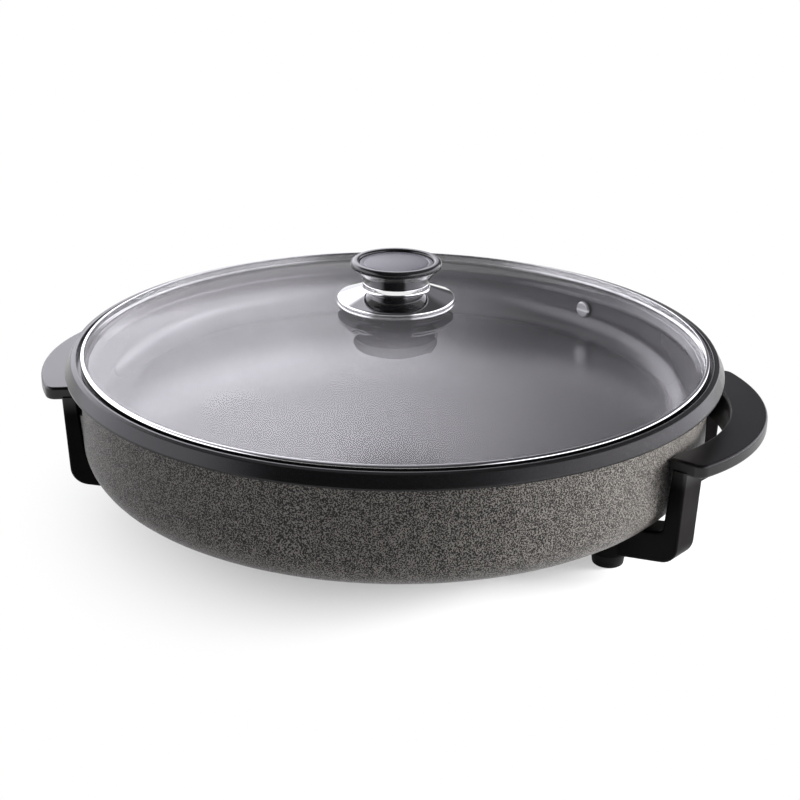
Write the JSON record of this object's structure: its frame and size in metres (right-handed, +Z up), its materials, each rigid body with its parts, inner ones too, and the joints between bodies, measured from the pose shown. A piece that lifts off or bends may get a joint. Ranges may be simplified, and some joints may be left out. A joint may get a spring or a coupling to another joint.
{
  "type": "electric pan",
  "caption": "Round electric pan with a domed glass lid and knob, crescent side handles on legs, an outer shell, a heater under the floor and a plug-in control inlet.",
  "frame": {"origin": "on the table, under the pan's axis", "axes": "+Z up along the pan's axis, +X through the right handle, +Y to the rear"},
  "size_m": [0.4806, 0.4236, 0.1648],
  "materials": {
    "pan_coating": "cast aluminium, grey non-stick inside, dark rim",
    "shell_paint": "pressed sheet with hammered grey paint",
    "heater_sheath": "oxidised steel tube",
    "ceramic": "unglazed",
    "plain_steel": "plain",
    "screw_steel": "bright zinc",
    "handle_plastic": "matt moulded",
    "foot_plastic": "matt moulded",
    "lid_glass": "clear tempered",
    "band_steel": "polished",
    "knob_chrome": "polished",
    "silicone": "matt",
    "insert_brass": "turned",
    "knob_plastic": "polished moulded",
    "cap_plastic": "satin, bare"
  },
  "bodies": {
    "pan": {"pan_body": "pan_coating", "base_shell": "shell_paint", "heating_element": "heater_sheath", "terminal_insulators": "ceramic", "terminal_pins": "plain_steel", "probe_sleeve": "plain_steel", "inlet_guard": "plain_steel", "wall_screw": "screw_steel", "wall_washer": "screw_steel", "wall_nut": "screw_steel", "handle_right": "handle_plastic", "handle_left": "handle_plastic", "foot_right_front": "foot_plastic", "foot_right_rear": "foot_plastic", "foot_left_front": "foot_plastic", "foot_left_rear": "foot_plastic", "foot_screws": "screw_steel"},
    "lid": {"lid_glass": "lid_glass", "lid_band": "band_steel", "knob_base": "knob_chrome", "knob_gasket": "silicone", "washer_gasket": "silicone", "knob_washer": "screw_steel", "knob_screw": "screw_steel", "knob_insert": "insert_brass", "lid_knob": "knob_plastic", "knob_cap": "cap_plastic"}
  },
  "joints": [
    {"name": "lid_lift", "type": "slide", "parent": "pan", "child": "lid", "axis": [0, 0, 1], "range_m": [0, 0.15]}
  ]
}
